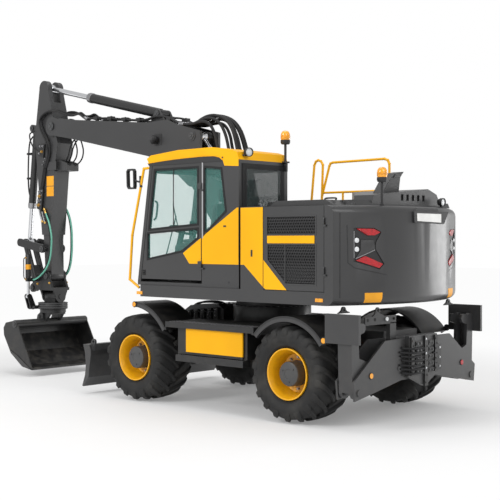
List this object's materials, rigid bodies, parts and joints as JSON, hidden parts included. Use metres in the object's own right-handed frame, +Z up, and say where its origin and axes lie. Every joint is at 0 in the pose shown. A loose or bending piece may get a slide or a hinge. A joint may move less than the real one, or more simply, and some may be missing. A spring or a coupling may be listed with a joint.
{
  "type": "wheeled excavator",
  "caption": "Wheeled excavator with a two-piece boom, an arm, a tilting and rotating ditching bucket, a front dozer blade, rear folding stabilisers and a glazed cab.",
  "frame": {"origin": "on the ground, at the middle of the length and width", "axes": "+X towards the blade and bucket, +Y to the cab side, +Z up"},
  "size_m": [7.728, 2.54, 4.6249],
  "materials": {
    "paint_yellow": "gloss",
    "paint_grey": "satin",
    "paint_black": "satin",
    "tyre_rubber": "matte",
    "rod_chrome": "polished",
    "cab_glass": "tinted",
    "trim_plastic": "matte",
    "lamp_plastic": "clear",
    "cast_grey": "rough"
  },
  "bodies": {
    "chassis": {"chassis_frame": "paint_black", "front_axle": "paint_black", "rear_axle": "paint_black", "fenders": "paint_black", "side_steps": "paint_black", "stabiliser_frame": "paint_black"},
    "house": {"upper_frame": "paint_grey", "counterweight": "paint_grey", "engine": "cast_grey", "side_panels": "paint_grey", "cab_shell": "paint_grey", "cab_roof": "paint_yellow", "cab_glass": "cab_glass", "cab_interior": "trim_plastic", "handrails": "paint_yellow", "lamps_mirrors": "lamp_plastic"},
    "cab_door": {"cab_door": "paint_grey", "door_glass": "cab_glass"},
    "wheel_front_left": {"tyre_front_left": "tyre_rubber", "rim_front_left": "paint_yellow"},
    "wheel_front_right": {"tyre_front_right": "tyre_rubber", "rim_front_right": "paint_yellow"},
    "wheel_rear_left": {"tyre_rear_left": "tyre_rubber", "rim_rear_left": "paint_yellow"},
    "wheel_rear_right": {"tyre_rear_right": "tyre_rubber", "rim_rear_right": "paint_yellow"},
    "toolbox_door": {"toolbox_door": "paint_yellow"},
    "knuckle_left": {"knuckle_left": "paint_black"},
    "knuckle_right": {"knuckle_right": "paint_black"},
    "dozer_blade": {"dozer_blade": "paint_black"},
    "blade_barrels": {"blade_barrels": "paint_grey"},
    "blade_rods": {"blade_rods": "rod_chrome"},
    "stabiliser_leg_left": {"stabiliser_leg_left": "paint_black"},
    "stabiliser_leg_right": {"stabiliser_leg_right": "paint_black"},
    "stabiliser_barrel_left": {"stabiliser_barrel_left": "paint_grey"},
    "stabiliser_barrel_right": {"stabiliser_barrel_right": "paint_grey"},
    "stabiliser_rod_left": {"stabiliser_rod_left": "rod_chrome"},
    "stabiliser_rod_right": {"stabiliser_rod_right": "rod_chrome"},
    "service_door_left": {"service_door_left": "paint_grey"},
    "service_door_right": {"service_door_right": "paint_grey"},
    "engine_hood": {"engine_hood": "paint_grey"},
    "base_boom": {"base_boom": "paint_grey"},
    "lift_barrels": {"lift_barrels": "paint_grey"},
    "lift_rods": {"lift_rods": "rod_chrome"},
    "adjust_barrel": {"adjust_barrel": "paint_grey"},
    "adjust_rod": {"adjust_rod": "rod_chrome"},
    "outer_boom": {"outer_boom": "paint_grey"},
    "arm_barrel": {"arm_barrel": "paint_grey"},
    "arm_rod": {"arm_rod": "rod_chrome"},
    "dipper_arm": {"dipper_arm": "paint_grey"},
    "bucket_barrel": {"bucket_barrel": "paint_grey"},
    "bucket_rod": {"bucket_rod": "rod_chrome"},
    "rocker": {"rocker": "paint_grey"},
    "push_link": {"push_link": "paint_grey"},
    "tilt_frame": {"tilt_frame": "cast_grey"},
    "tilt_rod_left": {"tilt_rod_left": "rod_chrome"},
    "tilt_rod_right": {"tilt_rod_right": "rod_chrome"},
    "rotor_housing": {"rotor_housing": "cast_grey"},
    "tool": {"tool_coupler": "cast_grey", "bucket": "paint_grey"}
  },
  "joints": [
    {"name": "slew", "type": "hinge", "parent": "chassis", "child": "house", "pos_m": [-1.505, 0, 1.519], "axis": [0, 0, 1], "continuous": true},
    {"name": "steer_left", "type": "hinge", "parent": "chassis", "child": "knuckle_left", "pos_m": [-0.19, 0.8, 0.565], "axis": [0, 0, 1], "range_deg": [-30, 30]},
    {"name": "steer_right", "type": "hinge", "parent": "chassis", "child": "knuckle_right", "pos_m": [-0.19, -0.8, 0.565], "axis": [0, 0, 1], "range_deg": [-30, 30]},
    {"name": "roll_front_left", "type": "hinge", "parent": "knuckle_left", "child": "wheel_front_left", "pos_m": [-0.19, 0.97, 0.565], "axis": [0, 1, 0], "continuous": true},
    {"name": "roll_front_right", "type": "hinge", "parent": "knuckle_right", "child": "wheel_front_right", "pos_m": [-0.19, -0.97, 0.565], "axis": [0, 1, 0], "continuous": true},
    {"name": "roll_rear_left", "type": "hinge", "parent": "chassis", "child": "wheel_rear_left", "pos_m": [-2.82, 0.97, 0.565], "axis": [0, 1, 0], "continuous": true},
    {"name": "roll_rear_right", "type": "hinge", "parent": "chassis", "child": "wheel_rear_right", "pos_m": [-2.82, -0.97, 0.565], "axis": [0, 1, 0], "continuous": true},
    {"name": "toolbox_lid", "type": "hinge", "parent": "chassis", "child": "toolbox_door", "pos_m": [-2.093, 1.199, 0.85], "axis": [0, 0, 1], "range_deg": [0, 95]},
    {"name": "blade_lift", "type": "hinge", "parent": "chassis", "child": "dozer_blade", "pos_m": [0.095, 0, 0.52], "axis": [0, -1, 0], "range_deg": [-16, 18]},
    {"name": "blade_barrel_swing", "type": "hinge", "parent": "chassis", "child": "blade_barrels", "pos_m": [0.035, 0, 0.9], "axis": [0, -1, 0], "range_deg": [-11.05, 12.31]},
    {"name": "blade_rod_slide", "type": "slide", "parent": "blade_barrels", "child": "blade_rods", "axis": [0.8365, 0, -0.548], "range_m": [-0.0952, 0.0852]},
    {"name": "leg_left", "type": "hinge", "parent": "chassis", "child": "stabiliser_leg_left", "pos_m": [-3.657, 1.15, 0.43], "axis": [-1, 0, 0], "range_deg": [0, 112]},
    {"name": "leg_barrel_left_swing", "type": "hinge", "parent": "chassis", "child": "stabiliser_barrel_left", "pos_m": [-3.657, 0.395, 0.64], "axis": [-1, 0, 0], "range_deg": [-1, 18.7]},
    {"name": "leg_rod_left_slide", "type": "slide", "parent": "stabiliser_barrel_left", "child": "stabiliser_rod_left", "axis": [0, 0.9916, 0.1293], "range_m": [-0.005, 0.4712]},
    {"name": "leg_right", "type": "hinge", "parent": "chassis", "child": "stabiliser_leg_right", "pos_m": [-3.657, -1.15, 0.43], "axis": [1, 0, 0], "range_deg": [0, 112]},
    {"name": "leg_barrel_right_swing", "type": "hinge", "parent": "chassis", "child": "stabiliser_barrel_right", "pos_m": [-3.657, -0.395, 0.64], "axis": [1, 0, 0], "range_deg": [-1, 18.7]},
    {"name": "leg_rod_right_slide", "type": "slide", "parent": "stabiliser_barrel_right", "child": "stabiliser_rod_right", "axis": [0, -0.9916, 0.1293], "range_m": [-0.005, 0.4712]},
    {"name": "cab_door_hinge", "type": "hinge", "parent": "house", "child": "cab_door", "pos_m": [-1.425, 1.235, 2.3], "axis": [0, 0, 1], "range_deg": [0, 165]},
    {"name": "service_left_hinge", "type": "hinge", "parent": "house", "child": "service_door_left", "pos_m": [-3.37911, 1.26, 2], "axis": [0, 0, -1], "range_deg": [-95, 0]},
    {"name": "service_right_hinge", "type": "hinge", "parent": "house", "child": "service_door_right", "pos_m": [-3.37911, -1.26, 2], "axis": [0, 0, 1], "range_deg": [-95, 0]},
    {"name": "hood_hinge", "type": "hinge", "parent": "house", "child": "engine_hood", "pos_m": [-2.127, 0, 2.53], "axis": [0, 1, 0], "range_deg": [0, 55]},
    {"name": "boom_lift", "type": "hinge", "parent": "house", "child": "base_boom", "pos_m": [-1.175, 0, 1.85], "axis": [0, -1, 0], "range_deg": [-30, 28]},
    {"name": "lift_barrel_swing", "type": "hinge", "parent": "house", "child": "lift_barrels", "pos_m": [-0.205, 0, 1.45], "axis": [0, -1, 0], "range_deg": [-13.85, 12.99]},
    {"name": "lift_rod_slide", "type": "slide", "parent": "lift_barrels", "child": "lift_rods", "axis": [-0.4692, 0, 0.8831], "range_m": [-0.3552, 0.3319]},
    {"name": "boom_adjust", "type": "hinge", "parent": "base_boom", "child": "outer_boom", "pos_m": [-0.205, 0, 2.98], "axis": [0, -1, 0], "range_deg": [-30, 35]},
    {"name": "adjust_barrel_swing", "type": "hinge", "parent": "base_boom", "child": "adjust_barrel", "pos_m": [-1.175, 0, 2.42], "axis": [0, -1, 0], "range_deg": [-9.25, 10.62]},
    {"name": "adjust_rod_slide", "type": "slide", "parent": "adjust_barrel", "child": "adjust_rod", "axis": [0.6584, 0, 0.7527], "range_m": [-0.2305, 0.1983]},
    {"name": "arm_crowd", "type": "hinge", "parent": "outer_boom", "child": "dipper_arm", "pos_m": [2.945, 0, 3.88], "axis": [0, 1, 0], "range_deg": [-60, 40]},
    {"name": "arm_barrel_swing", "type": "hinge", "parent": "outer_boom", "child": "arm_barrel", "pos_m": [0.595, 0, 3.905], "axis": [0, 1, 0], "range_deg": [-7.83, 5.56]},
    {"name": "arm_rod_slide", "type": "slide", "parent": "arm_barrel", "child": "arm_rod", "axis": [0.9743, 0, 0.2254], "range_m": [-0.6038, 0.4042]},
    {"name": "tool_curl", "type": "hinge", "parent": "dipper_arm", "child": "tilt_frame", "pos_m": [3.135, 0, 1.53], "axis": [0, -1, 0], "range_deg": [-70, 55]},
    {"name": "rocker_swing", "type": "hinge", "parent": "dipper_arm", "child": "rocker", "pos_m": [3.195, 0, 1.96], "axis": [0, -1, 0], "range_deg": [-54.76, 43.24]},
    {"name": "link_swing", "type": "hinge", "parent": "rocker", "child": "push_link", "pos_m": [3.795, 0, 2.06], "axis": [0, -1, 0], "range_deg": [-25.62, 32.33]},
    {"name": "bucket_barrel_swing", "type": "hinge", "parent": "dipper_arm", "child": "bucket_barrel", "pos_m": [3.585, 0, 3.9], "axis": [0, -1, 0], "range_deg": [-1.73, 1.57]},
    {"name": "bucket_rod_slide", "type": "slide", "parent": "bucket_barrel", "child": "bucket_rod", "axis": [0.1134, 0, -0.9936], "range_m": [-0.4049, 0.5139]},
    {"name": "tool_tilt", "type": "hinge", "parent": "tilt_frame", "child": "rotor_housing", "pos_m": [3.18, 0, 1.2], "axis": [1, 0, 0], "range_deg": [-40, 40]},
    {"name": "tilt_rod_left_slide", "type": "slide", "parent": "tilt_frame", "child": "tilt_rod_left", "axis": [0, 0, 1], "range_m": [-0.1978, 0.1978]},
    {"name": "tilt_rod_right_slide", "type": "slide", "parent": "tilt_frame", "child": "tilt_rod_right", "axis": [0, 0, 1], "range_m": [-0.1978, 0.1978]},
    {"name": "tool_rotate", "type": "hinge", "parent": "rotor_housing", "child": "tool", "pos_m": [3.18, 0, 1], "axis": [0, 0, 1], "continuous": true}
  ],
  "couplings": [
    {"joint": "steer_right", "follows": "steer_left", "ratio": 1},
    {"joint": "blade_barrel_swing", "follows": "blade_lift", "ratio": 0.6284},
    {"joint": "blade_rod_slide", "follows": "blade_lift", "m_per_rad": -0.28704},
    {"joint": "leg_barrel_left_swing", "follows": "leg_left", "ratio": 0.15804},
    {"joint": "leg_rod_left_slide", "follows": "leg_left", "m_per_rad": 0.23852},
    {"joint": "leg_barrel_right_swing", "follows": "leg_right", "ratio": 0.15804},
    {"joint": "leg_rod_right_slide", "follows": "leg_right", "m_per_rad": 0.23852},
    {"joint": "lift_barrel_swing", "follows": "boom_lift", "ratio": 0.42832},
    {"joint": "lift_rod_slide", "follows": "boom_lift", "m_per_rad": 0.66885},
    {"joint": "adjust_barrel_swing", "follows": "boom_adjust", "ratio": 0.27494},
    {"joint": "adjust_rod_slide", "follows": "boom_adjust", "m_per_rad": -0.36912},
    {"joint": "arm_barrel_swing", "follows": "arm_crowd", "ratio": 0.11388},
    {"joint": "arm_rod_slide", "follows": "arm_crowd", "m_per_rad": 0.5718},
    {"joint": "rocker_swing", "follows": "tool_curl", "ratio": 0.76795},
    {"joint": "link_swing", "follows": "tool_curl", "ratio": -0.4476},
    {"joint": "bucket_barrel_swing", "follows": "tool_curl", "ratio": 0.010375},
    {"joint": "bucket_rod_slide", "follows": "tool_curl", "m_per_rad": -0.41657},
    {"joint": "tilt_rod_left_slide", "follows": "tool_tilt", "m_per_rad": 0.27622},
    {"joint": "tilt_rod_right_slide", "follows": "tool_tilt", "m_per_rad": -0.27622}
  ]
}
